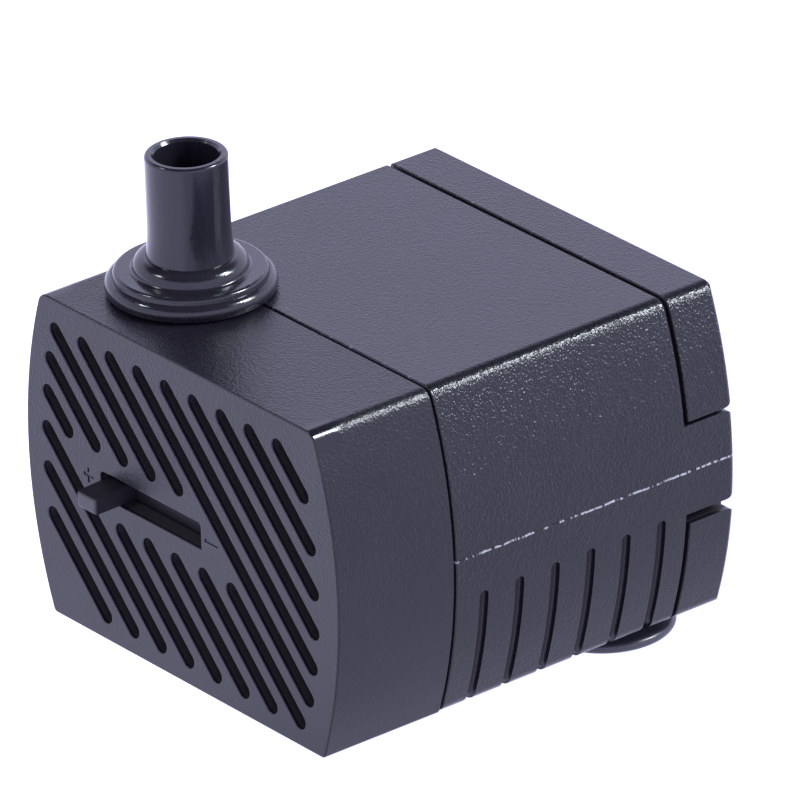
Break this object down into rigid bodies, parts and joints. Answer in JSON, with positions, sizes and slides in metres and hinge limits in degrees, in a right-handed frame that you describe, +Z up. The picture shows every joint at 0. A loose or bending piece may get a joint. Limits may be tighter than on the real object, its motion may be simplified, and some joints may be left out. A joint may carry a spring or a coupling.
{
  "type": "fountain submersible pump",
  "caption": "Small submersible fountain pump with a bowed box body, slanted intake grille with flow slider, push-in top outlet and suction cup feet.",
  "frame": {"origin": "on the surface that the suction cups stand on, under the centre of the overall box", "axes": "+Z up along the outlet nozzle, -Y out of the intake grille, +Y out of the cord inlet, +X to the right seen from the grille"},
  "size_m": [0.0524, 0.0598, 0.0556],
  "materials": {
    "casing_plastic": "fine spark-eroded satin ABS",
    "slider_plastic": "satin ABS",
    "nozzle_plastic": "polished ABS",
    "inner_plastic": "satin ABS",
    "impeller_plastic": "satin acetal",
    "ferrite": "bonded ferrite",
    "ceramic": "ground alumina",
    "seal_rubber": "moulded nitrile",
    "foot_rubber": "soft moulded PVC rubber",
    "lamination_steel": "varnished laminations",
    "bobbin_plastic": "nylon",
    "copper_wire": "enamelled copper",
    "pin_brass": "tinned brass",
    "lead_brown": "PVC insulation",
    "lead_blue": "PVC insulation",
    "resin": "cast epoxy"
  },
  "bodies": {
    "housing": {"motor_housing": "casing_plastic", "rear_cover": "casing_plastic", "chamber_cover": "inner_plastic", "pump_shaft": "ceramic", "front_bushing": "seal_rubber", "rear_bushing": "seal_rubber", "front_thrust_washer": "ceramic", "rear_thrust_washer": "ceramic", "stator_core": "lamination_steel", "coil_bobbin": "bobbin_plastic", "coil_winding": "copper_wire", "terminal_pins": "pin_brass", "lead_wire_live": "lead_brown", "lead_wire_neutral": "lead_blue", "epoxy_potting": "resin", "cord_gland": "foot_rubber", "suction_cup_front": "foot_rubber", "suction_cup_rear_left": "foot_rubber", "suction_cup_rear_right": "foot_rubber"},
    "rotor": {"impeller": "impeller_plastic", "rotor_magnet": "ferrite"},
    "cover": {"front_cover": "casing_plastic"},
    "slider": {"flow_slider": "slider_plastic"},
    "nozzle": {"outlet_nozzle": "nozzle_plastic", "nozzle_o_ring": "seal_rubber"}
  },
  "joints": [
    {"name": "rotor_spin", "type": "hinge", "parent": "housing", "child": "rotor", "pos_m": [0, -0.004, 0.0227], "axis": [0, 1, 0], "continuous": true},
    {"name": "cover_pull", "type": "slide", "parent": "housing", "child": "cover", "axis": [0, -1, 0], "range_m": [0, 0.025]},
    {"name": "slider_shift", "type": "slide", "parent": "cover", "child": "slider", "axis": [1, 0, 0], "range_m": [0, 0.0135]},
    {"name": "nozzle_pull", "type": "slide", "parent": "housing", "child": "nozzle", "axis": [0, 0, 1], "range_m": [0, 0.012]}
  ]
}
